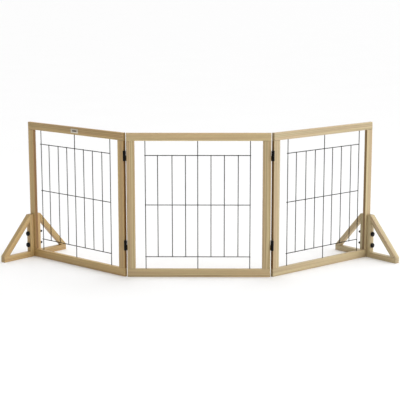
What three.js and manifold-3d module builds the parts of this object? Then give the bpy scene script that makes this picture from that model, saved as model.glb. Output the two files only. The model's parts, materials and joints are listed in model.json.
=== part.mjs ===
// A free-standing pet gate of three timber panels with welded wire grids.
// Millimetres, +Z up, with the floor at z = 0. The centre panel lies along X and its front faces -Y.
// A wing hangs on two pin hinges at each end of the centre panel, folded back towards +Y.
// A triangular foot is clamped to the front and the back of each wing's outer stile by two hand screws.
import * as THREE from 'three';
import { mergeVertices } from 'three/addons/utils/BufferGeometryUtils.js';
import Module from 'manifold-3d';

// Panel frames
const panelWidth = 600;
const panelHeight = 610;
const timberThickness = 16;
const stileWidth = 34.5;
const topRailHeight = 33;
const bottomRailHeight = 35;
const edgeRadius = 2.5;
const tenonLength = 12;
const tenonThickness = 6;
const tenonShoulder = 6;

// Clearance between pieces that touch, such as a glue line, and round what passes through a hole
const jointGap = 0.3;

// Wire grid: the first and last uprights stand these distances in from the stiles
const wireDiameter = 3.5;
const gridLeftMargin = 43.5;
const gridRightMargin = 51.5;
const uprightGapShares = [51.5, 60, 55.5, 51, 55, 55.5, 57.5, 50];
const longUprights = [0, 4, 8];
const lowWireRise = 51.5;
const highWireDrop = 61;
const middleWireRise = 6.5;
const wireSocketDepth = 12;
const weldSink = 0.7;
const crossWireOverhang = 1;

// Hinges: two knuckles on one pin, midway between two panels and in the plane of their front faces
const hingeSpace = timberThickness - 2;
const pinForward = timberThickness / 2;
const hingeHeight = 42;
const upperHingeDrop = 95;
const lowerHingeRise = 136;
const knuckleSpace = 0.5;
const barrelClearance = 0.5;
const hingePinDiameter = 5;
const pinHeadDiameter = 8.4;
const pinHeadHeight = 1.2;
const flangeThickness = 1.6;
const flangeWidth = 11;
const webThickness = 4;
const leafSetback = 1;
const shankDiameter = 6;
const shankLength = 22;

// Wings, turned back from the line of the centre panel
const wingFold = 40.7;

// Feet
const footWidth = 24;
const footHeight = 194;
const footReach = 174;
const postDepth = 22;
const baseHeight = 24;
const braceDepth = 22;
const braceToe = 3;
const footEdge = 1.6;
const footEdgeSteps = 2;

// Hand screws
const screwHeights = { lower: 55, upper: 106.5 };
const studDiameter = 6;
const knobDiameter = 22;
const knobHeight = 11;
const knobSkirt = 1;
const knobFootShare = 0.75;
const knobGripShare = 0.45;
const knobBoreDepth = 7;
const washerDiameter = 14;
const washerThickness = 1.2;
const nutAcrossFlats = 10;
const nutHexHeight = 12;
const nutHeight = 16;
const nutBoreDepth = 13;
const nutDomeShare = 0.92;

// Plate on the left wing's top rail, a little to the hinge side of the rail's middle
const plateOffset = 6;
const plateWidth = 46;
const plateHeight = 18;
const plateThickness = 1;
const plateCorner = 3;

// How far a cutting tool runs past the face it cuts, and a joined shape into its neighbour
const overrun = 1;

// Facets round a turned surface and round a quarter-circle edge
const turnedSides = 16;
const wireSides = 8;
const domeSteps = 4;
const cornerSteps = 3;

const wasm = await Module();
wasm.setup();

const finishes = {
  wood: { color: 0xc8a878, roughness: 0.6, metalness: 0 },
  wire: { color: 0x1a1a1c, roughness: 0.45, metalness: 0.3 },
  hinge: { color: 0x121212, roughness: 0.4, metalness: 0.5 },
  knob: { color: 0x141414, roughness: 0.4, metalness: 0 },
  steel: { color: 0x202022, roughness: 0.35, metalness: 0.8 },
  plate: { color: 0xd9d6cc, roughness: 0.35, metalness: 0.6 },
};

// Turns a closed three.js geometry into a solid that can be cut and joined.
function solidOf(geometry) {
  const bare = geometry.clone();
  bare.deleteAttribute('normal');
  bare.deleteAttribute('uv');
  const merged = mergeVertices(bare, 1e-4);
  const vertProperties = new Float32Array(merged.attributes.position.array);
  const triVerts = new Uint32Array(merged.index.array);
  return new wasm.Manifold(new wasm.Mesh({ numProp: 3, vertProperties, triVerts }));
}

function geometryOf(solid) {
  const { numProp, vertProperties, triVerts } = solid.getMesh();
  const positions = new Float32Array((vertProperties.length / numProp) * 3);
  for (let i = 0; i < positions.length / 3; i += 1) {
    positions.set(vertProperties.subarray(i * numProp, i * numProp + 3), i * 3);
  }
  const geometry = new THREE.BufferGeometry();
  geometry.setAttribute('position', new THREE.BufferAttribute(positions, 3));
  geometry.setIndex(new THREE.BufferAttribute(new Uint32Array(triVerts), 1));
  return geometry;
}

function piece(name, finish, solid) {
  const mesh = new THREE.Mesh(geometryOf(solid), new THREE.MeshStandardMaterial(finishes[finish]));
  mesh.name = name;
  return mesh;
}

function joined(solids) {
  return solids.reduce((whole, next) => whole.add(next));
}

function cut(solid, tools) {
  return tools.reduce((rest, tool) => rest.subtract(tool), solid);
}

// A box given by two opposite corners.
function box(corner, opposite) {
  const size = opposite.map((value, axis) => Math.abs(value - corner[axis]));
  const centre = opposite.map((value, axis) => (value + corner[axis]) / 2);
  return solidOf(new THREE.BoxGeometry(...size).translate(...centre));
}

// A cylinder from one point to another.
function rod(start, end, diameter, sides = turnedSides) {
  const from = new THREE.Vector3(...start);
  const along = new THREE.Vector3(...end).sub(from);
  const geometry = new THREE.CylinderGeometry(diameter / 2, diameter / 2, along.length(), sides);
  geometry.translate(0, along.length() / 2, 0);
  const upright = new THREE.Vector3(0, 1, 0);
  const turn = new THREE.Quaternion().setFromUnitVectors(upright, along.clone().normalize());
  geometry.applyQuaternion(turn);
  geometry.translate(...from);
  return solidOf(geometry);
}

// A rectangle with round corners, centred on the origin.
function roundedRectangle(width, height, radius) {
  const x = width / 2 - radius;
  const y = height / 2 - radius;
  const quarter = Math.PI / 2;
  const shape = new THREE.Shape();
  shape.absarc(x, y, radius, 0, quarter);
  shape.absarc(-x, y, radius, quarter, 2 * quarter);
  shape.absarc(-x, -y, radius, 2 * quarter, 3 * quarter);
  shape.absarc(x, -y, radius, 3 * quarter, 4 * quarter);
  return shape;
}

function extruded(shape, depth) {
  return new THREE.ExtrudeGeometry(shape, { depth, bevelEnabled: false, curveSegments: cornerSteps });
}

// A rail lies along X, with its underside at z = base. Its long edges and its ends' upright edges are round.
function railBlank(height, base) {
  const section = extruded(roundedRectangle(timberThickness, height, edgeRadius), panelWidth);
  section.rotateZ(Math.PI / 2);
  section.rotateY(Math.PI / 2);
  section.translate(-panelWidth / 2, 0, base + height / 2);
  const plan = extruded(roundedRectangle(panelWidth, timberThickness, edgeRadius), height);
  plan.translate(0, 0, base);
  return solidOf(section).intersect(solidOf(plan));
}

// The middles of the nine uprights, across the panel.
function uprightPlaces() {
  const first = -panelWidth / 2 + stileWidth + gridLeftMargin;
  const last = panelWidth / 2 - stileWidth - gridRightMargin;
  const total = uprightGapShares.reduce((sum, share) => sum + share);
  const places = [first];
  for (const share of uprightGapShares) {
    places.push(places.at(-1) + (share / total) * (last - first));
  }
  return places;
}

const stileBase = bottomRailHeight + jointGap;
const stileTop = panelHeight - topRailHeight - jointGap;
const stileMiddle = panelWidth / 2 - stileWidth / 2;
const lowWire = bottomRailHeight + lowWireRise;
const highWire = panelHeight - topRailHeight - highWireDrop;
const crossWires = [lowWire, (lowWire + highWire) / 2 + middleWireRise, highWire];

// The cut for both tenons and all the long uprights' ends, upwards or downwards from a rail's inner face.
function railSockets(innerFace, direction) {
  const tenonHalf = stileWidth / 2 - tenonShoulder + jointGap;
  const cheek = tenonThickness / 2 + jointGap;
  const mortiseEnd = innerFace + direction * (tenonLength + jointGap);
  const mouth = innerFace - direction * overrun;
  const mortises = [-1, 1].map((side) => box(
    [side * stileMiddle - tenonHalf, -cheek, mouth],
    [side * stileMiddle + tenonHalf, cheek, mortiseEnd],
  ));
  const places = uprightPlaces();
  const wireHoles = longUprights.map((index) => rod(
    [places[index], 0, mouth],
    [places[index], 0, innerFace + direction * (wireSocketDepth + jointGap)],
    wireDiameter + 2 * jointGap,
    wireSides,
  ));
  return [...mortises, ...wireHoles];
}

function topRail() {
  const base = panelHeight - topRailHeight;
  return cut(railBlank(topRailHeight, base), railSockets(base, 1));
}

function bottomRail() {
  return cut(railBlank(bottomRailHeight, 0), railSockets(bottomRailHeight, -1));
}

// A stile stands between the rails, at the panel's end on the given side, with a tenon at each end.
function stile(side) {
  const middle = side * stileMiddle;
  const plan = extruded(roundedRectangle(stileWidth, timberThickness, edgeRadius), stileTop - stileBase);
  const tenonHalf = stileWidth / 2 - tenonShoulder;
  const tenons = box(
    [middle - tenonHalf, -tenonThickness / 2, stileBase - tenonLength],
    [middle + tenonHalf, tenonThickness / 2, stileTop + tenonLength],
  );
  return solidOf(plan.translate(middle, 0, stileBase)).add(tenons);
}

// Nine uprights with three cross wires welded in front of them. Only the long uprights reach into the rails.
function wireGrid() {
  const places = uprightPlaces();
  const railEnds = [bottomRailHeight - wireSocketDepth, panelHeight - topRailHeight + wireSocketDepth];
  const shortEnds = [lowWire - wireDiameter / 2, highWire + wireDiameter / 2];
  const uprights = places.map((x, index) => {
    const [low, high] = longUprights.includes(index) ? railEnds : shortEnds;
    return rod([x, 0, low], [x, 0, high], wireDiameter, wireSides);
  });
  const start = places[0] - wireDiameter / 2 - crossWireOverhang;
  const end = places.at(-1) + wireDiameter / 2 + crossWireOverhang;
  const front = -(wireDiameter - weldSink);
  const across = crossWires.map((z) => rod([start, front, z], [end, front, z], wireDiameter, wireSides));
  return joined([...uprights, ...across]);
}

const hinges = {
  lower: lowerHingeRise,
  upper: panelHeight - upperHingeDrop,
};
const knuckleHeight = (hingeHeight - knuckleSpace) / 2;
const knuckleOffset = (knuckleSpace + knuckleHeight) / 2;
const pinToPanel = hingeSpace / 2;

const shankSetback = leafSetback + flangeWidth / 2;

// The hole for a knuckle's shank, drilled into a panel's end on the given side.
// behind is the way along Y, 1 or -1, from a hinge pin to the middle of its panel's thickness.
function shankHole(side, behind, height) {
  const y = behind * (shankSetback - pinForward);
  const mouth = side * (panelWidth / 2 + overrun);
  const bottom = side * (panelWidth / 2 - shankLength - jointGap);
  return rod([mouth, y, height], [bottom, y, height], shankDiameter + 2 * jointGap);
}

// A knuckle round the hinge pin at x = 0 and y = 0. Its web and flange reach a panel's end on the given side.
function knuckle(side, behind, middle) {
  const low = middle - knuckleHeight / 2;
  const high = middle + knuckleHeight / 2;
  const face = pinToPanel - jointGap;
  const front = behind * leafSetback;
  const barrel = rod([0, 0, low], [0, 0, high], hingeSpace - 2 * barrelClearance);
  const web = box([0, front, low], [side * face, front + behind * webThickness, high]);
  const flange = box(
    [side * (face - flangeThickness), front, low],
    [side * face, front + behind * flangeWidth, high],
  );
  const shankPlace = behind * shankSetback;
  const shank = rod(
    [side * (face - overrun), shankPlace, middle],
    [side * (pinToPanel + shankLength), shankPlace, middle],
    shankDiameter,
  );
  const bore = rod([0, 0, low - overrun], [0, 0, high + overrun], hingePinDiameter + 2 * jointGap);
  return cut(joined([barrel, web, flange, shank]), [bore]);
}

function hingePin(middle) {
  const foot = middle - hingeHeight / 2;
  const top = middle + hingeHeight / 2 + jointGap;
  const shaft = rod([0, 0, foot], [0, 0, top + pinHeadHeight / 2], hingePinDiameter);
  const head = rod([0, 0, top], [0, 0, top + pinHeadHeight], pinHeadDiameter);
  return shaft.add(head);
}

// A foot member: its outline in the upright plane across the wing, as (distance out from the wing, height).
// front is -1 for a foot that stands out towards -Y and 1 for +Y, and the foot's middle is at x = middle.
function footMember(outline, middle, front) {
  const shape = new THREE.Shape(outline.map(([out, height]) => new THREE.Vector2(out, height)));
  const geometry = new THREE.ExtrudeGeometry(shape, {
    depth: footWidth - 2 * footEdge,
    bevelThickness: footEdge,
    bevelSize: footEdge,
    bevelOffset: -footEdge,
    bevelSegments: footEdgeSteps,
  });
  geometry.translate(0, 0, -footWidth / 2 + footEdge);
  geometry.rotateX(Math.PI / 2);
  geometry.rotateZ((front * Math.PI) / 2);
  geometry.translate(middle, 0, 0);
  return solidOf(geometry);
}

const stileFace = timberThickness / 2;
const postBack = stileFace + jointGap;
const postFront = postBack + postDepth;
const footTip = stileFace + footReach;
const footMiddle = -pinToPanel - panelWidth + footWidth / 2;

function postOutline() {
  return [[postBack, 0], [postFront, 0], [postFront, footHeight], [postBack, footHeight]];
}

function baseOutline() {
  const heel = postFront + jointGap;
  return [[heel, 0], [footTip, 0], [footTip, baseHeight], [heel, baseHeight]];
}

// The brace slopes from the post's upper corner to a short upright toe over the base's end.
function braceOutline() {
  const heel = postFront + jointGap;
  const seat = baseHeight + jointGap;
  const toe = seat + braceToe;
  const run = footTip - heel;
  const rise = footHeight - toe;
  const underside = footHeight - (braceDepth * Math.hypot(run, rise)) / run;
  return [
    [heel, underside],
    [heel + ((underside - seat) * run) / rise, seat],
    [footTip, seat],
    [footTip, toe],
    [heel, footHeight],
  ];
}

// The screws' holes through a foot's post or through the stile, along Y.
function screwHoles(reach) {
  return Object.values(screwHeights).map((z) => rod(
    [footMiddle, -reach, z],
    [footMiddle, reach, z],
    studDiameter + 2 * jointGap,
  ));
}

// What is turned about a screw's axis is drawn as (radius, distance out) and then laid along -Y or +Y.
function turnedAlong(profile, z, front) {
  const points = profile.map(([radius, out]) => new THREE.Vector2(radius, out));
  const geometry = new THREE.LatheGeometry(points, turnedSides);
  if (front < 0) {
    geometry.rotateX(Math.PI);
  }
  geometry.translate(footMiddle, 0, z);
  return solidOf(geometry);
}

// A domed knob with a short skirt, seated on the front post, and a blind bore for its stud.
function knob(z, front) {
  const seat = postFront + jointGap;
  const radius = knobDiameter / 2;
  const foot = radius * knobFootShare;
  const grip = knobHeight * knobGripShare;
  const profile = [[0, seat], [foot, seat], [foot, seat + knobSkirt], [radius, seat + 2 * knobSkirt]];
  for (let step = 0; step <= domeSteps; step += 1) {
    const angle = (step / domeSteps) * (Math.PI / 2);
    const out = seat + grip + (knobHeight - grip) * Math.sin(angle);
    profile.push([step === domeSteps ? 0 : radius * Math.cos(angle), out]);
  }
  const bore = rod(
    [footMiddle, front * (seat - overrun), z],
    [footMiddle, front * (seat + knobBoreDepth), z],
    studDiameter + 2 * jointGap,
  );
  return cut(turnedAlong(profile, z, front), [bore]);
}

const nutSeat = postFront + 2 * jointGap + washerThickness;

function stud(z, front) {
  const outer = front * (postFront + knobBoreDepth);
  const inner = -front * (nutSeat + nutBoreDepth - jointGap);
  return rod([footMiddle, outer, z], [footMiddle, inner, z], studDiameter);
}

function washer(z, front) {
  const seat = postFront + jointGap;
  const disc = rod(
    [footMiddle, -front * seat, z],
    [footMiddle, -front * (seat + washerThickness), z],
    washerDiameter,
  );
  const hole = rod(
    [footMiddle, -front * (seat - overrun), z],
    [footMiddle, -front * (seat + washerThickness + overrun), z],
    studDiameter + 2 * jointGap,
  );
  return cut(disc, [hole]);
}

function capNut(z, front) {
  const seat = nutSeat;
  const cornerDiameter = nutAcrossFlats / Math.cos(Math.PI / 6);
  const hexagon = rod(
    [footMiddle, -front * seat, z],
    [footMiddle, -front * (seat + nutHexHeight), z],
    cornerDiameter,
    6,
  );
  const domeRadius = (nutAcrossFlats / 2) * nutDomeShare;
  const domeBase = seat + nutHexHeight;
  const domeHeight = nutHeight - nutHexHeight;
  const profile = [[0, seat + overrun], [domeRadius, seat + overrun]];
  for (let step = 0; step <= domeSteps; step += 1) {
    const angle = (step / domeSteps) * (Math.PI / 2);
    const out = domeBase + domeHeight * Math.sin(angle);
    profile.push([step === domeSteps ? 0 : domeRadius * Math.cos(angle), out]);
  }
  const dome = turnedAlong(profile, z, -front);
  const bore = rod(
    [footMiddle, -front * (seat - overrun), z],
    [footMiddle, -front * (seat + nutBoreDepth), z],
    studDiameter + 2 * jointGap,
  );
  return cut(hexagon.add(dome), [bore]);
}

function namePlate() {
  const shape = roundedRectangle(plateWidth, plateHeight, plateCorner);
  const geometry = extruded(shape, plateThickness);
  geometry.rotateX(Math.PI / 2);
  geometry.translate(plateOffset, -stileFace - jointGap, panelHeight - topRailHeight / 2);
  return solidOf(geometry);
}

function centrePanel() {
  const group = new THREE.Group();
  group.add(piece('centre_top_rail', 'wood', topRail()));
  group.add(piece('centre_bottom_rail', 'wood', bottomRail()));
  for (const [label, side] of [['left', -1], ['right', 1]]) {
    const holes = Object.values(hinges).map((z) => shankHole(side, 1, z - knuckleOffset));
    group.add(piece(`centre_${label}_stile`, 'wood', cut(stile(side), holes)));
  }
  group.add(piece('centre_wire_grid', 'wire', wireGrid()));
  return group;
}

// Half a hinge and its pin stay with the centre panel.
function centreHingeParts(label, side) {
  const group = new THREE.Group();
  group.position.set(side * (panelWidth / 2 + pinToPanel), -pinForward, 0);
  for (const [place, z] of Object.entries(hinges)) {
    const half = knuckle(-side, 1, z - knuckleOffset);
    group.add(piece(`${label}_${place}_hinge_centre_knuckle`, 'hinge', half));
    group.add(piece(`${label}_${place}_hinge_pin`, 'steel', hingePin(z)));
  }
  return group;
}

function footParts(label, placeName, front) {
  const members = {
    post: cut(footMember(postOutline(), footMiddle, front), screwHoles(postFront + overrun)),
    base: footMember(baseOutline(), footMiddle, front),
    brace: footMember(braceOutline(), footMiddle, front),
  };
  return Object.entries(members).map(([member, solid]) => (
    piece(`${label}_foot_${placeName}_${member}`, 'wood', solid)
  ));
}

// A wing's own frame has the hinge pin at x = 0 and y = 0, and the wing runs from there towards -X.
// knobSide is the side of the wing, -1 or 1 along its own Y, that faces the front of the gate.
// onRail holds what is fixed to the top rail, placed from the panel's middle.
function wing(label, knobSide, onRail = []) {
  const behind = -knobSide;
  const group = new THREE.Group();
  for (const [place, z] of Object.entries(hinges)) {
    const half = knuckle(-1, behind, z + knuckleOffset);
    group.add(piece(`${label}_${place}_hinge_wing_knuckle`, 'hinge', half));
  }

  const body = new THREE.Group();
  body.position.y = behind * pinForward;
  group.add(body);
  const panel = new THREE.Group();
  panel.position.x = -pinToPanel - panelWidth / 2;
  panel.add(piece(`${label}_top_rail`, 'wood', topRail()));
  panel.add(piece(`${label}_bottom_rail`, 'wood', bottomRail()));
  const shankHoles = Object.values(hinges).map((z) => shankHole(1, behind, z + knuckleOffset));
  panel.add(piece(`${label}_hinge_stile`, 'wood', cut(stile(1), shankHoles)));
  panel.add(piece(`${label}_wire_grid`, 'wire', wireGrid()));
  onRail.forEach((fitting) => panel.add(fitting));
  body.add(panel);

  const outerStile = stile(-1).translate([panel.position.x, 0, 0]);
  body.add(piece(`${label}_outer_stile`, 'wood', cut(outerStile, screwHoles(stileFace + overrun))));
  body.add(...footParts(label, 'front', knobSide));
  body.add(...footParts(label, 'rear', -knobSide));
  for (const [place, z] of Object.entries(screwHeights)) {
    body.add(piece(`${label}_${place}_knob`, 'knob', knob(z, knobSide)));
    body.add(piece(`${label}_${place}_stud`, 'steel', stud(z, knobSide)));
    body.add(piece(`${label}_${place}_washer`, 'steel', washer(z, knobSide)));
    body.add(piece(`${label}_${place}_cap_nut`, 'steel', capNut(z, knobSide)));
  }
  return group;
}

const gate = new THREE.Group();
gate.add(centrePanel());
gate.add(centreHingeParts('left', -1));
gate.add(centreHingeParts('right', 1));

const pinPlace = panelWidth / 2 + pinToPanel;
const foldAngle = THREE.MathUtils.degToRad(wingFold);

const leftWing = wing('left', -1, [piece('name_plate', 'plate', namePlate())]);
leftWing.position.set(-pinPlace, -pinForward, 0);
leftWing.rotation.z = -foldAngle;
gate.add(leftWing);

// The right wing is the same wing turned round, so its other face is at the front.
const rightWing = wing('right', 1);
rightWing.position.set(pinPlace, -pinForward, 0);
rightWing.rotation.z = Math.PI + foldAngle;
gate.add(rightWing);

export default gate;
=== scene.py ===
"""Looks of a free-standing pet gate: three timber panels with wire grids, on clamped triangular feet.

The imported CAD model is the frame. The timber stays as it is and gets its material here. The wire grids,
the hinges, the hand screws and the plate are replaced by rounder, more detailed pieces.
Metres, +Z up. The centre panel lies along X and its front faces -Y.
"""
import json
import math
import random

import bmesh
import bpy
from mathutils import Euler, Matrix, Vector


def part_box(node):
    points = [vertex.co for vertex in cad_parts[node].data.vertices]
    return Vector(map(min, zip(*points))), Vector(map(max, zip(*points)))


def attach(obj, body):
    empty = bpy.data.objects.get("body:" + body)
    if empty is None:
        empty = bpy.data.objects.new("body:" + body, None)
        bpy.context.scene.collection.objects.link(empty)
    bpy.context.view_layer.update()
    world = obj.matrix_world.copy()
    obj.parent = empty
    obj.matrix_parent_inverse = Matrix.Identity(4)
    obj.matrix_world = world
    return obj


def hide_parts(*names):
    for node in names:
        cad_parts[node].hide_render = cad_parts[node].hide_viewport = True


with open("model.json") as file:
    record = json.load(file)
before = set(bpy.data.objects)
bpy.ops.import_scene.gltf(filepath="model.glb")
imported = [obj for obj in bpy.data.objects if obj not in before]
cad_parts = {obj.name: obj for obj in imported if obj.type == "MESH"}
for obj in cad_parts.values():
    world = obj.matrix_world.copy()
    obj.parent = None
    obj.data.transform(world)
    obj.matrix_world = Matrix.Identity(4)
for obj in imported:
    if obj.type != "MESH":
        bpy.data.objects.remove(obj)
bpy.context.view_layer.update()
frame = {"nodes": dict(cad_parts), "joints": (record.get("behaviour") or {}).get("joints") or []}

nodes = frame["nodes"]
joints = {joint["name"]: joint for joint in frame["joints"]}

# Sizes that the CAD source also holds
PANEL_WIDTH = 0.600
PANEL_HEIGHT = 0.610
TIMBER = 0.016
STILE_WIDTH = 0.0345
TOP_RAIL = 0.033
BOTTOM_RAIL = 0.035
HINGE_SPACE = TIMBER - 0.002
PIN_FORWARD = TIMBER / 2
WING_FOLD = math.radians(40.7)
JOINT_GAP = 0.0003

FOOT_HEIGHT = 0.194
FOOT_REACH = 0.174
POST_DEPTH = 0.022
BASE_HEIGHT = 0.024

# Wire grid: the first and last uprights stand these distances in from the stiles
GRID_LEFT_MARGIN = 0.0435
GRID_RIGHT_MARGIN = 0.0515
UPRIGHT_GAP_SHARES = (51.5, 60, 55.5, 51, 55, 55.5, 57.5, 50)
LONG_UPRIGHTS = (0, 4, 8)
LOW_WIRE_RISE = 0.0515
HIGH_WIRE_DROP = 0.061
MIDDLE_WIRE_RISE = 0.0065
WIRE_RADIUS = 0.00175
WELD_SINK = 0.0007
CROSS_WIRE_OVERHANG = 0.001
WIRE_SOCKET = 0.012

# How far each body's panel is turned about +Z, and which way its middle lies from its hinge pins along its Y
TURNS = {"centre_panel": 0.0, "left_wing": -WING_FOLD, "right_wing": math.pi + WING_FOLD}
BEHIND = {"centre_panel": 1, "left_wing": 1, "right_wing": -1}
WING_MIDDLE = -HINGE_SPACE / 2 - PANEL_WIDTH / 2


def pin_matrix(wing):
    """A wing's own axes, with the hinge pins at x = 0 and y = 0."""
    pin = Vector(joints[f"{wing}_fold"]["pos_m"])
    return Matrix.Translation(pin) @ Matrix.Rotation(TURNS[wing], 4, "Z")


def panel_matrix(body):
    """A panel's own axes, with y = 0 in the middle of its timber."""
    if body == "centre_panel":
        return Matrix.Identity(4)
    return pin_matrix(body) @ Matrix.Translation((0, BEHIND[body] * PIN_FORWARD, 0))


# ---------------------------------------------------------------- materials


class Nodes:
    """Short calls for building one node tree."""

    def __init__(self, tree):
        self.tree = tree

    def add(self, kind, inputs=None, **settings):
        node = self.tree.nodes.new(kind)
        for key, value in settings.items():
            setattr(node, key, value)
        for key, value in (inputs or {}).items():
            if isinstance(value, bpy.types.NodeSocket):
                self.tree.links.new(value, node.inputs[key])
            else:
                node.inputs[key].default_value = value
        return node

    def math(self, operation, a, b=0.0):
        return self.add("ShaderNodeMath", {0: a, 1: b}, operation=operation).outputs[0]

    def scaled(self, vector, factors):
        node = self.add("ShaderNodeVectorMath", {0: vector, 1: factors}, operation="MULTIPLY")
        return node.outputs[0]

    def noise(self, vector, scale=1.0, detail=2.0, roughness=0.5):
        inputs = {"Vector": vector, "Scale": scale, "Detail": detail, "Roughness": roughness}
        return self.add("ShaderNodeTexNoise", inputs).outputs[0]

    def ramp(self, value, low, high, smooth=True):
        """0 below low, 1 above high."""
        inputs = {"Value": value, "From Min": low, "From Max": high, "To Min": 0.0, "To Max": 1.0}
        kind = "SMOOTHSTEP" if smooth else "LINEAR"
        return self.add("ShaderNodeMapRange", inputs, interpolation_type=kind).outputs[0]

    def between(self, value, low, high):
        """A 0 to 1 value, as a value from low to high."""
        inputs = {"Value": value, "From Min": 0.0, "From Max": 1.0, "To Min": low, "To Max": high}
        return self.add("ShaderNodeMapRange", inputs).outputs[0]

    def mixed(self, factor, a, b, blend="MIX"):
        node = self.add("ShaderNodeMix", data_type="RGBA", blend_type=blend)
        for socket, value in ((node.inputs[0], factor), (node.inputs[6], a), (node.inputs[7], b)):
            if isinstance(value, bpy.types.NodeSocket):
                self.tree.links.new(value, socket)
            else:
                socket.default_value = value
        return node.outputs[2]

    def grey(self, value):
        """One value as a grey colour."""
        return self.add("ShaderNodeCombineColor", {0: value, 1: value, 2: value}).outputs[0]

    def bump(self, height, strength, distance):
        inputs = {"Height": height, "Strength": strength, "Distance": distance}
        return self.add("ShaderNodeBump", inputs).outputs[0]


def new_material(name):
    material = bpy.data.materials.new(name)
    material.use_nodes = True
    material.node_tree.nodes.clear()
    build = Nodes(material.node_tree)
    shader = build.add("ShaderNodeBsdfPrincipled")
    build.add("ShaderNodeOutputMaterial", {"Surface": shader.outputs[0]})
    return material, build, shader


def linked(build, shader, **inputs):
    """Links values to the shader's sockets, whose spaces are written as underscores."""
    for name, value in inputs.items():
        build.tree.links.new(value, shader.inputs[name.replace("_", " ")])


def colour(red, green, blue):
    """A colour given as sRGB from 0 to 255."""
    def linear(value):
        value /= 255
        return value / 12.92 if value <= 0.04045 else ((value + 0.055) / 1.055) ** 2.4
    return (linear(red), linear(green), linear(blue), 1.0)


# Turns from a panel's own axes to a board's: x along the grain, y across the board
GRAIN_ALONG_X = Matrix.Identity(4)
GRAIN_ALONG_Y = Matrix.Rotation(-math.pi / 2, 4, "Z")
GRAIN_ALONG_Z = Matrix.Rotation(math.pi / 2, 4, "Y")

# The average board's colours, and the painted shade colour that the narrow faces along a stile are
# multiplied by
EARLY_WOOD = (193, 173, 124)
LATE_WOOD = (155, 127, 78)
PINK_WOOD = (190, 162, 118)
STILE_SHADE_COLOUR = colour(236, 209, 164)


def wood(name, body, turn, middle, seed, tint, painted_edge_shade):
    """Lacquered pine for one board.

    The tree's heart lies beside the board, so the growth rings show as long streaks on its faces and
    as arcs on its ends. turn and middle place the board in its panel's axes and in the frame. tint scales
    its red, green and blue, as a random tone per board times its panel's painted light tint. The last
    argument paints shade: it darkens the narrow faces along the board's length. The rounded long edges
    are lightened as a painted highlight, partly also wear.
    """
    chance = random.Random(seed)
    to_board = turn @ Matrix.Rotation(-TURNS[body], 4, "Z")
    heart = Vector((
        chance.uniform(1, 9),
        chance.uniform(0.012, 0.034) * chance.choice((-1, 1)),
        chance.uniform(0.016, 0.05) * chance.choice((-1, 1)),
    ))
    shift = heart - to_board @ Vector(middle)

    material, build, shader = new_material(name)
    place = build.add("ShaderNodeTexCoord")
    board = build.add("ShaderNodeMapping", {
        "Vector": place.outputs["Object"],
        "Location": shift,
        "Rotation": to_board.to_euler("XYZ"),
    }).outputs[0]
    facing = build.add("ShaderNodeMapping", {
        "Vector": place.outputs["Normal"],
        "Rotation": to_board.to_euler("XYZ"),
    }, vector_type="VECTOR").outputs[0]
    along, across, through = (
        build.math("ABSOLUTE", socket)
        for socket in build.add("ShaderNodeSeparateXYZ", {0: facing}).outputs
    )

    spacing = chance.uniform(0.0034, 0.0052)
    rings = build.add("ShaderNodeTexWave", {
        "Vector": build.scaled(board, (0.10, 1.0, 1.0)),
        "Scale": 2 * math.pi / (20 * spacing),
        "Distortion": 5.0,
        "Detail": 2.0,
        "Detail Scale": 0.30,
        "Detail Roughness": 0.45,
    }, wave_type="RINGS", rings_direction="X", wave_profile="SIN").outputs["Fac"]
    late = build.ramp(rings, 0.45, 1.0)
    band = build.ramp(build.noise(build.scaled(board, (1.6, 75, 75)), detail=3.0), 0.36, 0.66)
    fibre = build.noise(build.scaled(board, (16, 950, 950)), detail=4.0, roughness=0.6)
    fleck = build.ramp(build.noise(build.scaled(board, (55, 1500, 1500)), detail=1.0), 0.66, 0.74)
    streak = build.ramp(build.noise(build.scaled(board, (1.3, 130, 130)), detail=2.0), 0.35, 0.65)
    patch = build.noise(build.scaled(board, (3.0, 14, 14)), detail=1.0)

    early, late_colour, pink = (
        colour(*(channel * scale for channel, scale in zip(average, tint)))
        for average in (EARLY_WOOD, LATE_WOOD, PINK_WOOD)
    )
    base = build.mixed(band, early, pink)
    base = build.mixed(build.math("MULTIPLY", late, build.between(patch, 0.2, 1.0)), base, late_colour)
    shade = build.between(fibre, 0.83, 1.16)
    shade = build.math("MULTIPLY", shade, build.between(streak, 0.9, 1.09))
    shade = build.math("MULTIPLY", shade, build.between(patch, 0.91, 1.09))
    shade = build.math("MULTIPLY", shade, build.between(fleck, 1.0, 0.84))
    end = build.ramp(along, 0.75, 0.95)
    shade = build.math("MULTIPLY", shade, build.between(end, 1.0, 0.84))
    # Painted shade: the narrow faces along a stile are made darker and browner
    if painted_edge_shade:
        edge = build.ramp(through, 0.6, 0.95)
        base = build.mixed(edge, base, STILE_SHADE_COLOUR, "MULTIPLY")
        shade = build.math("MULTIPLY", shade, build.between(edge, 1.0, 1.0 - painted_edge_shade))
    # The rounded long edges: their colour is lightened as a painted highlight, partly also wear, and they
    # are a little glossier where worn
    wear_and_highlight = build.math("MULTIPLY", build.math("MULTIPLY", across, through), 1.9)
    shade = build.math("MULTIPLY", shade, build.between(wear_and_highlight, 1.0, 1.2))
    final = build.mixed(1.0, base, build.grey(shade), "MULTIPLY")

    rough = build.between(fibre, 0.40, 0.56)
    rough = build.math("SUBTRACT", rough, build.math("MULTIPLY", wear_and_highlight, 0.06))
    grain = build.math("SUBTRACT", fibre, build.math("MULTIPLY", late, 0.25))
    grain = build.math("SUBTRACT", grain, build.math("MULTIPLY", fleck, 0.3))
    linked(build, shader, Base_Color=final, Roughness=rough, Normal=build.bump(grain, 0.35, 0.0004))
    shader.inputs["Coat Weight"].default_value = 0.18
    shader.inputs["Coat Roughness"].default_value = 0.32
    return material


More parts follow.
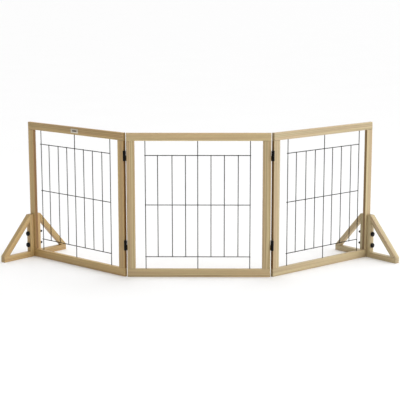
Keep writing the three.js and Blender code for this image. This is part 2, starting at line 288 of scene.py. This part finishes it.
def painted_metal(name, shade, low_rough, high_rough, grain, metallic=0.0, specular=0.5):
    """A black coat or moulding: a fine orange-peel surface, a little uneven in gloss and colour."""
    material, build, shader = new_material(name)
    place = build.add("ShaderNodeTexCoord").outputs["Object"]
    peel = build.noise(place, scale=grain, detail=2.0)
    cloud = build.noise(place, scale=38.0, detail=3.0)
    tone = build.mixed(build.ramp(cloud, 0.3, 0.7), shade, tuple(c * 1.7 for c in shade[:3]) + (1.0,))
    linked(build, shader, Base_Color=tone, Roughness=build.between(cloud, low_rough, high_rough),
           Normal=build.bump(peel, 0.25, 0.00012))
    shader.inputs["Metallic"].default_value = metallic
    shader.inputs["Specular IOR Level"].default_value = specular
    return material


def brushed_plate(name):
    """Satin metal, brushed along the plate."""
    material, build, shader = new_material(name)
    place = build.add("ShaderNodeTexCoord").outputs["Object"]
    lines = build.noise(build.scaled(place, (30, 30, 4200)), detail=3.0)
    smudge = build.noise(place, scale=90.0, detail=2.0)
    tone = build.mixed(build.ramp(lines, 0.3, 0.7), colour(196, 186, 166), colour(226, 219, 204))
    linked(build, shader, Base_Color=tone, Roughness=build.between(smudge, 0.34, 0.52),
           Normal=build.bump(lines, 0.2, 0.00008))
    shader.inputs["Metallic"].default_value = 0.25
    return material


WIRE = painted_metal("wire_coat", colour(10, 10, 11), 0.42, 0.58, 2600, specular=0.08)
HINGE = painted_metal("hinge_coat", colour(9, 7, 6), 0.4, 0.54, 1900, specular=0.08)
KNOB = painted_metal("knob_plastic", colour(13, 12, 12), 0.34, 0.5, 1500, specular=0.22)
STEEL = painted_metal("black_steel", colour(30, 30, 32), 0.26, 0.42, 2200, metallic=0.6)
PLATE = brushed_plate("plate_metal")
ENAMEL = painted_metal("plate_bar_enamel", colour(70, 60, 50), 0.28, 0.4, 2400)


# ---------------------------------------------------------------- timber


def body_of(name):
    if name.startswith("centre_"):
        return "centre_panel"
    return "left_wing" if name.startswith("left_") else "right_wing"


def grain_of(name):
    """The turn from a panel's own axes to a board's."""
    if name.endswith("_rail"):
        return GRAIN_ALONG_X
    if name.endswith(("_stile", "_post")):
        return GRAIN_ALONG_Z
    if name.endswith("_base"):
        return GRAIN_ALONG_Y
    return GRAIN_ALONG_Z @ Matrix.Rotation(brace_lean(name), 4, "X")


def brace_lean(name):
    """How far a brace leans from upright, about its panel's own X."""
    lean = math.atan2(FOOT_REACH - POST_DEPTH, FOOT_HEIGHT - BASE_HEIGHT)
    knob_side = -1 if name.startswith("left_") else 1
    out = knob_side if "_front_" in name else -knob_side
    return -lean if out > 0 else lean


BOARD_ENDINGS = ("_rail", "_stile", "_post", "_base", "_brace")

# Painted light: each panel's timber is scaled in red, green and blue for how it is lit, the right wing
# lighter and paler, the left wing darker and warmer
PANEL_LIGHT_TINTS = {
    "centre_panel": (1.0, 1.01, 1.05),
    "left_wing": (1.01, 0.97, 0.91),
    "right_wing": (1.0, 1.03, 1.11),
}
# How far painted shade darkens the narrow faces along each stile
STILE_PAINTED_SHADE = 0.4


def repaint(obj, material):
    obj.data.materials.clear()
    obj.data.materials.append(material)


def smooth_edges(obj):
    """Shades the rounded edges as one smooth surface and leaves the flat faces flat."""
    mesh = obj.data
    if mesh.has_custom_normals:
        mesh.attributes.remove(mesh.attributes["custom_normal"])
    mesh.polygons.foreach_set("use_smooth", [True] * len(mesh.polygons))
    for name in ("sharp_edge", "sharp_face"):
        if name in mesh.attributes:
            mesh.attributes.remove(mesh.attributes[name])
    weld = obj.modifiers.new("weld", "WELD")
    weld.merge_threshold = 0.00001
    split = obj.modifiers.new("split", "EDGE_SPLIT")
    split.split_angle = math.radians(38)


def finish_timber():
    boards = [name for name in sorted(nodes) if name.endswith(BOARD_ENDINGS)]
    for seed, name in enumerate(boards):
        obj = nodes[name]
        body = body_of(name)
        low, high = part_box(name)
        middle = (Vector(low) + Vector(high)) / 2
        tone = random.Random(seed + 100).uniform(0.97, 1.03)
        # A random tone per board, times its panel's painted light tint
        tint = tuple(tone * channel for channel in PANEL_LIGHT_TINTS[body])
        painted_edge_shade = STILE_PAINTED_SHADE if name.endswith("_stile") else 0.0
        material = wood(f"wood_{name}", body, grain_of(name), middle, seed, tint, painted_edge_shade)
        repaint(obj, material)
        smooth_edges(obj)


# ---------------------------------------------------------------- new pieces


def finished(name, bm, body, material, replaces=(), matrix=None, angle=35):
    """Makes an object from bm, moved by matrix into the shared frame, and lets it ride on a body."""
    if matrix is not None:
        bm.transform(matrix)
    bmesh.ops.recalc_face_normals(bm, faces=bm.faces)
    mesh = bpy.data.meshes.new(name)
    bm.to_mesh(mesh)
    bm.free()
    mesh.polygons.foreach_set("use_smooth", [True] * len(mesh.polygons))
    mesh.set_sharp_from_angle(angle=math.radians(angle))
    mesh.materials.append(material)
    obj = bpy.data.objects.new(name, mesh)
    bpy.context.scene.collection.objects.link(obj)
    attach(obj, body)
    if replaces:
        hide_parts(*replaces)
    return obj


def add_lathe(bm, profile, segments, matrix=None, radius_at=None):
    """Turns (radius, height) points about +Z. radius_at(angle, radius, height) may change a radius."""
    rows = []
    for radius, height in profile:
        if radius == 0:
            rows.append([bm.verts.new((0, 0, height))])
            continue
        row = []
        for step in range(segments):
            angle = 2 * math.pi * step / segments
            here = radius_at(angle, radius, height) if radius_at else radius
            row.append(bm.verts.new((here * math.cos(angle), here * math.sin(angle), height)))
        rows.append(row)
    for below, above in zip(rows, rows[1:]):
        for step in range(segments):
            after = (step + 1) % segments
            if len(below) == 1:
                bm.faces.new((below[0], above[after], above[step]))
            elif len(above) == 1:
                bm.faces.new((below[step], below[after], above[0]))
            else:
                bm.faces.new((below[step], below[after], above[after], above[step]))
    if matrix is not None:
        made = [vert for row in rows for vert in row]
        bmesh.ops.transform(bm, matrix=matrix, verts=made)


def join_seams(bm):
    """Joins the points that two lathed rows share, which closes the piece."""
    bmesh.ops.remove_doubles(bm, verts=bm.verts, dist=1e-7)


def add_box(bm, corner, opposite, bevel, segments=2):
    """A box between two opposite corners, with rounded edges."""
    corner, opposite = Vector(corner), Vector(opposite)
    size = [abs(span) for span in opposite - corner]
    made = bmesh.ops.create_cube(bm, size=1)["verts"]
    bmesh.ops.scale(bm, vec=size, verts=made)
    bmesh.ops.translate(bm, vec=(corner + opposite) / 2, verts=made)
    edges = list(dict.fromkeys(edge for vert in made for edge in vert.link_edges))
    bmesh.ops.bevel(bm, geom=edges, offset=bevel, segments=segments, profile=0.5, affect="EDGES")


def pointing(start, direction):
    """A matrix that takes +Z to a direction and the origin to start."""
    turn = Vector(direction).to_track_quat("Z", "Y").to_matrix().to_4x4()
    return Matrix.Translation(Vector(start)) @ turn


def add_wire(bm, start, end, sides=12):
    """A drawn wire with its cut ends slightly rounded over."""
    start, end = Vector(start), Vector(end)
    length = (end - start).length
    radius, soft = WIRE_RADIUS, WIRE_RADIUS * 0.45
    profile = [
        (0, 0), (radius - soft, 0), (radius - soft * 0.3, soft * 0.3), (radius, soft),
        (radius, length - soft), (radius - soft * 0.3, length - soft * 0.3),
        (radius - soft, length), (0, length),
    ]
    add_lathe(bm, profile, sides, pointing(start, end - start))


def add_weld(bm, place, sides=10):
    """The flattened bead where two wires are welded: it bulges a little round the crossing."""
    profile = [(0, -1.0)]
    for step in range(1, 6):
        angle = math.pi * step / 6 - math.pi / 2
        profile.append((math.cos(angle), math.sin(angle)))
    profile.append((0, 1.0))
    width, depth = WIRE_RADIUS * 1.32, WIRE_RADIUS * 1.15
    size = Matrix.Diagonal((width, width, depth, 1.0))
    add_lathe(bm, profile, sides, pointing(place, (0, -1, 0)) @ size)


def upright_places():
    first = -PANEL_WIDTH / 2 + STILE_WIDTH + GRID_LEFT_MARGIN
    last = PANEL_WIDTH / 2 - STILE_WIDTH - GRID_RIGHT_MARGIN
    places = [first]
    for share in UPRIGHT_GAP_SHARES:
        places.append(places[-1] + share / sum(UPRIGHT_GAP_SHARES) * (last - first))
    return places


def make_grid(node, middle):
    """Nine uprights with three cross wires welded on in front. middle is the panel's middle along its X."""
    body = body_of(node)
    low_wire = BOTTOM_RAIL + LOW_WIRE_RISE
    high_wire = PANEL_HEIGHT - TOP_RAIL - HIGH_WIRE_DROP
    cross_wires = (low_wire, (low_wire + high_wire) / 2 + MIDDLE_WIRE_RISE, high_wire)
    places = upright_places()
    front = -(2 * WIRE_RADIUS - WELD_SINK)
    bm = bmesh.new()
    for index, x in enumerate(places):
        if index in LONG_UPRIGHTS:
            ends = (BOTTOM_RAIL - WIRE_SOCKET, PANEL_HEIGHT - TOP_RAIL + WIRE_SOCKET)
        else:
            ends = (low_wire - WIRE_RADIUS, high_wire + WIRE_RADIUS)
        add_wire(bm, (x, 0, ends[0]), (x, 0, ends[1]))
    reach = WIRE_RADIUS + CROSS_WIRE_OVERHANG
    for z in cross_wires:
        add_wire(bm, (places[0] - reach, front, z), (places[-1] + reach, front, z))
        for x in places:
            add_weld(bm, (x, front / 2, z))
    matrix = panel_matrix(body) @ Matrix.Translation((middle, 0, 0))
    finished(f"{node}_welded", bm, body, WIRE, (node,), matrix, angle=40)


HINGE_HEIGHT = 0.042
KNUCKLE_SPACE = 0.0005
PIN_RADIUS = 0.0025
PIN_HEAD_RADIUS = 0.0042
BARREL_RADIUS = 0.0065
SHANK_RADIUS = 0.003
SHANK_LENGTH = 0.022
LEAF_SETBACK = 0.001
WEB_THICKNESS = 0.004
FLANGE_WIDTH = 0.011
FLANGE_THICKNESS = 0.0016
KNUCKLE_HEIGHT = (HINGE_HEIGHT - KNUCKLE_SPACE) / 2


def make_knuckle(body, node, side, middle, matrix):
    """Half a hinge: a rolled barrel, its web, a flange on the panel's end, and the screwed-in shank.

    side is the way from the pin to the panel along X, and middle the knuckle's height above the floor.
    """
    behind = BEHIND[body]
    low, high = middle - KNUCKLE_HEIGHT / 2, middle + KNUCKLE_HEIGHT / 2
    face = HINGE_SPACE / 2 - JOINT_GAP
    soft = 0.0006
    bore = PIN_RADIUS + JOINT_GAP
    outline = [
        (bore, low), (BARREL_RADIUS - soft, low), (BARREL_RADIUS - soft * 0.3, low + soft * 0.3),
        (BARREL_RADIUS, low + soft), (BARREL_RADIUS, high - soft),
        (BARREL_RADIUS - soft * 0.3, high - soft * 0.3), (BARREL_RADIUS - soft, high), (bore, high),
        (bore, low),
    ]
    bm = bmesh.new()
    add_lathe(bm, outline, 32)
    join_seams(bm)
    front = behind * LEAF_SETBACK
    web_end = (side * (face - 0.0002), front + behind * WEB_THICKNESS, high - 0.0004)
    add_box(bm, (side * 0.003, front, low + 0.0004), web_end, 0.0007)
    flange_end = (side * face, front + behind * FLANGE_WIDTH, high)
    add_box(bm, (side * (face - FLANGE_THICKNESS), front, low), flange_end, 0.0006)
    start = face - FLANGE_THICKNESS / 2
    length = HINGE_SPACE / 2 + SHANK_LENGTH - start
    shank = [
        (0, 0), (SHANK_RADIUS, 0), (SHANK_RADIUS, length - 0.002), (SHANK_RADIUS * 0.5, length),
        (0, length),
    ]
    shank_start = (side * start, front + behind * FLANGE_WIDTH / 2, middle)
    add_lathe(bm, shank, 20, pointing(shank_start, (side, 0, 0)))
    finished(f"{node}_rolled", bm, body, HINGE, (node,), matrix)


def make_pin(node, middle, matrix):
    """The hinge pin, with a domed head on the upper knuckle."""
    foot = middle - HINGE_HEIGHT / 2
    seat = middle + HINGE_HEIGHT / 2 + JOINT_GAP
    head = PIN_HEAD_RADIUS
    profile = [
        (0, foot), (PIN_RADIUS - 0.0005, foot), (PIN_RADIUS, foot + 0.0005), (PIN_RADIUS, seat),
        (head, seat), (head, seat + 0.0003), (head * 0.93, seat + 0.0006), (head * 0.75, seat + 0.0009),
        (head * 0.45, seat + 0.0011), (0, seat + 0.0012),
    ]
    bm = bmesh.new()
    add_lathe(bm, profile, 28)
    finished(f"{node}_headed", bm, "centre_panel", STEEL, (node,), matrix)


def make_hinges():
    knuckle_offset = (KNUCKLE_SPACE + KNUCKLE_HEIGHT) / 2
    for label, side in (("left", -1), ("right", 1)):
        wing = f"{label}_wing"
        place = Matrix.Translation(Vector(joints[f"{label}_wing_fold"]["pos_m"]))
        for level in ("lower", "upper"):
            pin = f"{label}_{level}_hinge_pin"
            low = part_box(pin)[0]
            middle = low[2] + HINGE_HEIGHT / 2
            make_knuckle("centre_panel", f"{label}_{level}_hinge_centre_knuckle", -side,
                         middle - knuckle_offset, place)
            make_knuckle(wing, f"{label}_{level}_hinge_wing_knuckle", -1,
                         middle + knuckle_offset, pin_matrix(wing))
            make_pin(pin, middle, place)


STILE_FACE = TIMBER / 2
POST_FRONT = STILE_FACE + JOINT_GAP + POST_DEPTH
WASHER_RADIUS = 0.007
WASHER_THICKNESS = 0.0012
STUD_BORE = 0.0033
KNOB_BORE_DEPTH = 0.007
KNOB_RADIUS = 0.011
KNOB_HEIGHT = 0.011
NUT_FLATS = 0.010
NUT_HEX = 0.012
NUT_BORE_DEPTH = 0.013
NUT_HEIGHT = 0.016

# Finger flutes round a knob: how many, how high up they are deepest, and how deep as a share of the radius
FLUTES = 12
FLUTE_MIDDLE = 0.0038
FLUTE_DEPTH = 0.055


def fluted(angle, radius, height):
    """A knob's radius with its flutes, which fade out towards the crown and the foot."""
    if radius < KNOB_RADIUS * 0.9:
        return radius
    fade = max(0.0, 1 - abs(height - FLUTE_MIDDLE) / FLUTE_MIDDLE)
    return radius * (1 - FLUTE_DEPTH * fade * (0.5 - 0.5 * math.cos(FLUTES * angle)) ** 2)


def make_knob(body, node, place, out):
    """A domed plastic knob on its post, hollow for the stud, with a skirt and finger flutes."""
    radius, height = KNOB_RADIUS, KNOB_HEIGHT
    profile = [
        (STUD_BORE, KNOB_BORE_DEPTH), (STUD_BORE, 0.0002), (STUD_BORE + 0.0002, 0), (radius * 0.70, 0),
        (radius * 0.76, 0.0003), (radius * 0.78, 0.0012), (radius * 0.92, 0.0016), (radius * 0.985, 0.0021),
        (radius, 0.0028), (radius, 0.0038), (radius, 0.0050), (radius * 0.975, height * 0.59),
        (radius * 0.91, height * 0.71), (radius * 0.80, height * 0.81), (radius * 0.64, height * 0.90),
        (radius * 0.44, height * 0.965), (radius * 0.22, height * 0.993), (0, height),
    ]
    bm = bmesh.new()
    add_lathe(bm, profile, 72, radius_at=fluted)
    add_lathe(bm, [(0, KNOB_BORE_DEPTH), (STUD_BORE, KNOB_BORE_DEPTH)], 72)
    join_seams(bm)
    finished(f"{node}_fluted", bm, body, KNOB, (node,), pointing(place, out))


def make_washer(body, node, place, out):
    """A flat washer with rounded rims."""
    outer, inner, thick, soft = WASHER_RADIUS, STUD_BORE, WASHER_THICKNESS, 0.00025
    profile = [
        (inner, 0), (outer - soft, 0), (outer, soft), (outer, thick - soft), (outer - soft, thick),
        (inner + soft, thick), (inner, thick - soft), (inner, 0),
    ]
    bm = bmesh.new()
    add_lathe(bm, profile, 40)
    join_seams(bm)
    finished(f"{node}_pressed", bm, body, STEEL, (node,), pointing(place, out))


def make_cap_nut(body, node, place, out):
    """An acorn nut: a hexagon whose corners are turned away, and a dome."""
    corner = NUT_FLATS / 2 / math.cos(math.pi / 6)

    def hexagonal(angle, radius, height):
        if height > NUT_HEX + 1e-6 or radius < NUT_FLATS / 2 * 0.97:
            return radius
        turn = (angle + math.pi / 6) % (math.pi / 3) - math.pi / 6
        return min(radius, NUT_FLATS / 2 / math.cos(turn))

    dome = NUT_FLATS * 0.46
    profile = [
        (STUD_BORE, NUT_BORE_DEPTH), (STUD_BORE, 0), (NUT_FLATS / 2 * 0.98, 0), (corner, 0.0006),
        (corner, NUT_HEX - 0.0006), (NUT_FLATS / 2 * 0.98, NUT_HEX), (dome, NUT_HEX + 0.0002),
        (dome, NUT_HEX + 0.0010), (dome * 0.95, NUT_HEX + 0.0019), (dome * 0.82, NUT_HEX + 0.0028),
        (dome * 0.60, NUT_HEX + 0.0035), (dome * 0.32, NUT_HEX + 0.0039), (0, NUT_HEIGHT),
    ]
    bm = bmesh.new()
    add_lathe(bm, profile, 48, radius_at=hexagonal)
    add_lathe(bm, [(0, NUT_BORE_DEPTH), (STUD_BORE, NUT_BORE_DEPTH)], 48)
    join_seams(bm)
    finished(f"{node}_acorn", bm, body, STEEL, (node,), pointing(place, out), angle=24)


def make_hand_screws():
    seat = POST_FRONT + JOINT_GAP
    under_washer = seat + WASHER_THICKNESS + JOINT_GAP
    for label in ("left", "right"):
        wing = f"{label}_wing"
        for level in ("lower", "upper"):
            joint = joints[f"{label}_{level}_hand_screw_turn"]
            out = Vector(joint["axis"])
            middle = Vector(joint["pos_m"])
            name = f"{label}_{level}"
            make_knob(f"{name}_hand_screw", f"{name}_knob", middle + out * seat, out)
            make_washer(wing, f"{name}_washer", middle - out * seat, -out)
            make_cap_nut(wing, f"{name}_cap_nut", middle - out * under_washer, -out)
            stud = nodes[f"{name}_stud"]
            repaint(stud, STEEL)
            smooth_edges(stud)


# Plate on the left wing's top rail, a little to the hinge side of the rail's middle
PLATE_OFFSET = 0.006
PLATE_WIDTH = 0.046
PLATE_HEIGHT = 0.018
PLATE_THICKNESS = 0.001
PLATE_CORNER = 0.003
PLATE_PIN_SPREAD = 0.0195
BAR_WIDTH = 0.026
BAR_HEIGHT = 0.0062
BAR_CORNER = 0.0016
SLAB_CORNER_STEPS = 6


def rounded_slab(width, height, corner_radius, near, far, soft):
    """A slab with round corners, from y = near out to y = far, with a soft front edge."""
    bm = bmesh.new()
    rows = []
    for y, inset in ((near, 0.0), (far + soft, 0.0), (far + soft * 0.3, soft * 0.3), (far, soft)):
        reach = corner_radius - inset
        row = []
        for corner, (side, level) in enumerate(((1, 1), (-1, 1), (-1, -1), (1, -1))):
            across = side * (width / 2 - corner_radius)
            up = level * (height / 2 - corner_radius)
            for step in range(SLAB_CORNER_STEPS + 1):
                angle = math.pi / 2 * (corner + step / SLAB_CORNER_STEPS)
                place = (across + reach * math.cos(angle), y, up + reach * math.sin(angle))
                row.append(bm.verts.new(place))
        rows.append(row)
    for below, above in zip(rows, rows[1:]):
        for step in range(len(below)):
            after = (step + 1) % len(below)
            bm.faces.new((below[step], below[after], above[after], above[step]))
    bm.faces.new(rows[0])
    bm.faces.new(rows[-1])
    return bm


def make_plate():
    """A blank plate with a dark bar where a name would be, held by two small round pins."""
    place = (WING_MIDDLE + PLATE_OFFSET, 0, PANEL_HEIGHT - TOP_RAIL / 2)
    matrix = panel_matrix("left_wing") @ Matrix.Translation(place)
    back = -STILE_FACE - JOINT_GAP
    front = back - PLATE_THICKNESS
    face = rounded_slab(PLATE_WIDTH, PLATE_HEIGHT, PLATE_CORNER, back, front, 0.0003)
    pin_head = [
        (0, -0.0003), (0.0011, -0.0003), (0.0011, 0.0001), (0.0008, 0.0003), (0.0004, 0.00038),
        (0, 0.0004),
    ]
    for side in (-1, 1):
        add_lathe(face, pin_head, 16, pointing((side * PLATE_PIN_SPREAD, front, 0), (0, -1, 0)))
    finished("name_plate_face", face, "left_wing", PLATE, ("name_plate",), matrix)
    bar = rounded_slab(BAR_WIDTH, BAR_HEIGHT, BAR_CORNER, front + 0.0002, front - 0.0003, 0.00012)
    finished("name_plate_bar", bar, "left_wing", ENAMEL, (), matrix)


# ---------------------------------------------------------------- floor, light and camera

# The floor runs this far each way, so that its edge lies close to the horizon
FLOOR_REACH = 900

# The surround's brightness, and how much it rises towards +X, towards +Y and upwards
SURROUND = 0.52
SURROUND_SLOPE = (0.55, 0.38, 0.75)
OVERHEAD_WATTS = 8
RIGHT_WATTS = 60

CAMERA_PLACE = (0.07176, -4.80073, 1.21946)
CAMERA_PITCH = math.radians(-10.512)
CAMERA_YAW = math.radians(0.780)
CAMERA_ROLL = math.radians(0.07)
LENS = 105.56


def make_floor():
    bm = bmesh.new()
    bmesh.ops.create_grid(bm, x_segments=4, y_segments=4, size=FLOOR_REACH)
    mesh = bpy.data.meshes.new("floor")
    bm.to_mesh(mesh)
    bm.free()
    floor = bpy.data.objects.new("floor", mesh)
    material, build, shader = new_material("pale_floor")
    place = build.add("ShaderNodeTexCoord").outputs["Object"]
    tone = build.between(build.noise(place, scale=1.4, detail=2.0), 0.95, 0.97)
    linked(build, shader, Base_Color=build.grey(tone))
    shader.inputs["Roughness"].default_value = 0.9
    mesh.materials.append(material)
    bpy.context.scene.collection.objects.link(floor)


def add_softbox(name, place, target, width, height, watts):
    light = bpy.data.lights.new(name, "AREA")
    light.shape = "RECTANGLE"
    light.size, light.size_y, light.energy = width, height, watts
    obj = bpy.data.objects.new(name, light)
    obj.location = place
    obj.rotation_euler = (Vector(target) - Vector(place)).to_track_quat("-Z", "Y").to_euler()
    bpy.context.scene.collection.objects.link(obj)


def make_lights():
    """A bright surround, stronger behind and to the right, a softbox overhead and one at the front right."""
    world = bpy.data.worlds.new("studio")
    world.use_nodes = True
    world.node_tree.nodes.clear()
    build = Nodes(world.node_tree)
    direction = build.add("ShaderNodeTexCoord").outputs["Generated"]
    slope = build.add("ShaderNodeVectorMath", {0: direction, 1: SURROUND_SLOPE}, operation="DOT_PRODUCT")
    strength = build.math("MAXIMUM", build.math("ADD", slope.outputs["Value"], SURROUND), 0.03)
    background = build.add("ShaderNodeBackground", {"Color": (1, 1, 1, 1), "Strength": strength})
    build.add("ShaderNodeOutputWorld", {"Surface": background.outputs[0]})
    bpy.context.scene.world = world
    add_softbox("overhead_softbox", (0.5, -0.6, 3.6), (0, 0.1, 0), 5.0, 4.0, OVERHEAD_WATTS)
    add_softbox("right_softbox", (4.4, -2.2, 1.2), (0.2, 0.2, 0.3), 2.6, 2.0, RIGHT_WATTS)


def make_camera():
    camera = bpy.data.objects.new("camera", bpy.data.cameras.new("camera"))
    camera.data.sensor_width = 36
    camera.data.lens = LENS
    camera.data.clip_start = 0.1
    camera.data.clip_end = 3000
    camera.location = CAMERA_PLACE
    camera.rotation_euler = Euler((math.pi / 2 + CAMERA_PITCH, CAMERA_ROLL, CAMERA_YAW), "XYZ")
    bpy.context.scene.collection.objects.link(camera)
    bpy.context.scene.camera = camera


bpy.context.scene.view_settings.view_transform = "Standard"
finish_timber()
for panel, middle in (("centre", 0.0), ("left", WING_MIDDLE), ("right", WING_MIDDLE)):
    make_grid(f"{panel}_wire_grid", middle)
make_hinges()
make_hand_screws()
make_plate()
make_floor()
make_lights()
make_camera()
